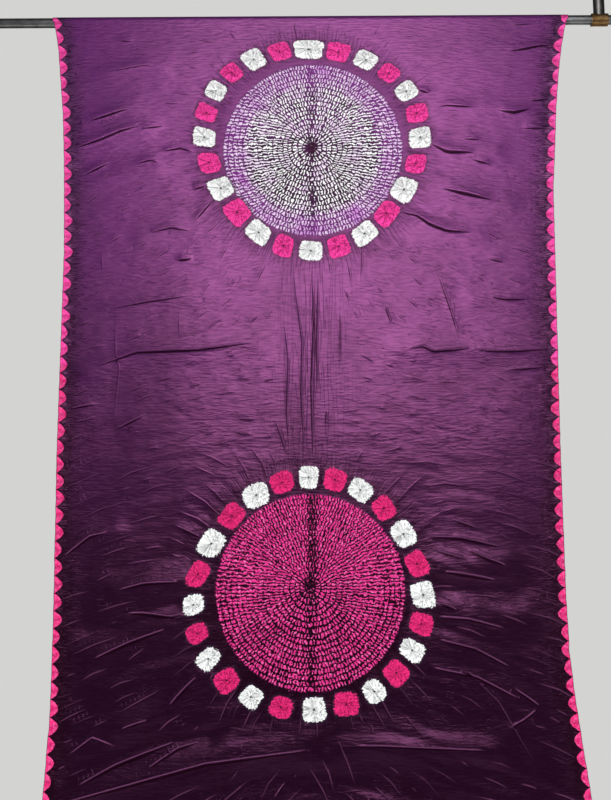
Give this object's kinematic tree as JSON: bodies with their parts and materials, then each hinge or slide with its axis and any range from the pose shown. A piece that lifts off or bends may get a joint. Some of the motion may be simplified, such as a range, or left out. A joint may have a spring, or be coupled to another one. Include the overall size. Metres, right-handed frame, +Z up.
{
  "type": "bandhani cloth hanging over a rod",
  "caption": "Length of tie-dyed satin cloth with ringed discs and a scalloped border, draped over a straight steel rod on ceiling hangers.",
  "frame": {"origin": "on the ceiling plane, straight above the rod's axis and the cloth's centre line", "axes": "+Z up, +X along the rod to the viewer's right, the dyed face of the cloth looks along -Y"},
  "size_m": [1.296, 0.0695, 1.5996],
  "materials": {
    "dyed_satin": "crinkled satin, purple ground with white and pink resist marks",
    "zinc_plated_steel": "plain plated tube",
    "brass": "satin",
    "grey_steel": "satin"
  },
  "bodies": {
    "root": {"cloth": "dyed_satin", "rod": "zinc_plated_steel", "hanger_right_ring": "brass", "hanger_right_stem": "grey_steel", "hanger_left_ring": "brass", "hanger_left_stem": "grey_steel"}
  },
  "joints": []
}
